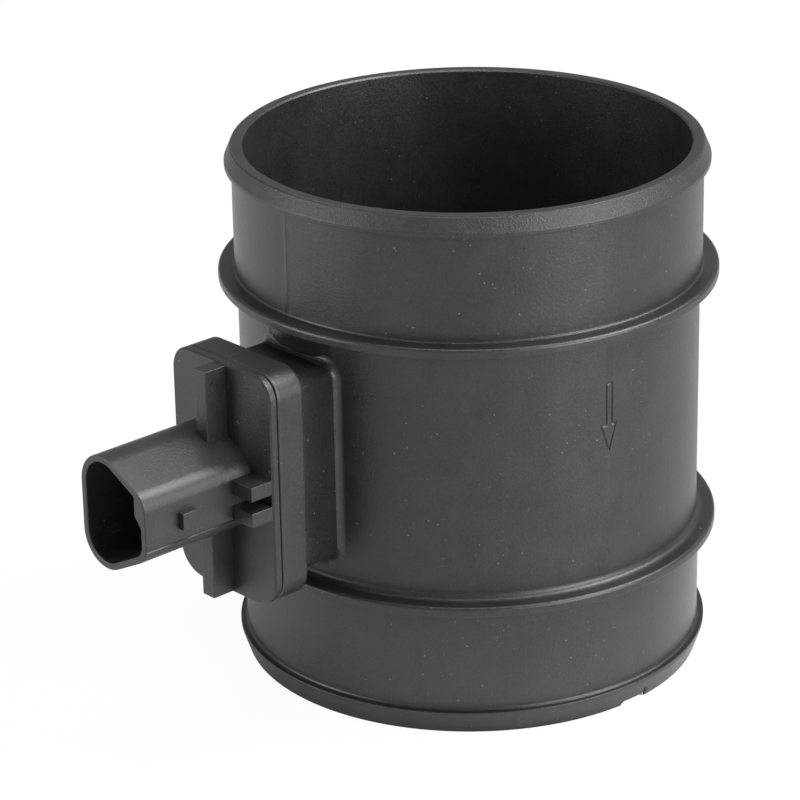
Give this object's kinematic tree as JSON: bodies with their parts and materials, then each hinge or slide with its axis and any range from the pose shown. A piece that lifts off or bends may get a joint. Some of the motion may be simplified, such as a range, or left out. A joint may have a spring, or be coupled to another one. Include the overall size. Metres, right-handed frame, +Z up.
{
  "type": "mass airflow sensor",
  "caption": "Mass airflow sensor: a hot-film module with a trapezoidal connector shroud plugs into a pocket on a straight round duct with hose beads and collars.",
  "frame": {"origin": "on the duct's axis, in the plane of the outlet bead's widest ring", "axes": "+Z up the duct's axis towards its inlet end, against the air flow; the module plugs in from -Y, and its connector shroud points along -Y; +X is the side that the shroud narrows to"},
  "size_m": [0.0904, 0.1275, 0.0969],
  "materials": {
    "duct_black": "fine-grained moulded black, glass-filled",
    "module_black": "fine-grained moulded black",
    "sealant": "cured black sealant",
    "seal_rubber": "smooth black rubber",
    "base_metal": "plain rolled sheet",
    "ceramic": "white fired ceramic",
    "silicon": "polished dark grey silicon",
    "chip_black": "moulded black package",
    "capacitor_body": "fired tan ceramic",
    "bead_glass": "dark glass bead",
    "pin_metal": "tin-plated brass",
    "lead_metal": "bright drawn wire"
  },
  "bodies": {
    "root": {"air_thermistor": "bead_glass", "base_plate": "base_metal", "bond_bead": "sealant", "bypass_cover": "module_black", "capacitor_1": "capacitor_body", "capacitor_2": "capacitor_body", "capacitor_3": "capacitor_body", "capacitor_4": "capacitor_body", "chip_carrier": "ceramic", "circuit_board": "ceramic", "connector_pin_1": "pin_metal", "connector_pin_2": "pin_metal", "connector_pin_3": "pin_metal", "connector_pin_4": "pin_metal", "connector_pin_5": "pin_metal", "duct_housing": "duct_black", "electronics_cover": "module_black", "hot_film_chip": "silicon", "seal_ring": "seal_rubber", "sensor_carrier": "module_black", "signal_chip": "chip_black", "thermistor_lead_1": "lead_metal", "thermistor_lead_2": "lead_metal"}
  },
  "joints": []
}
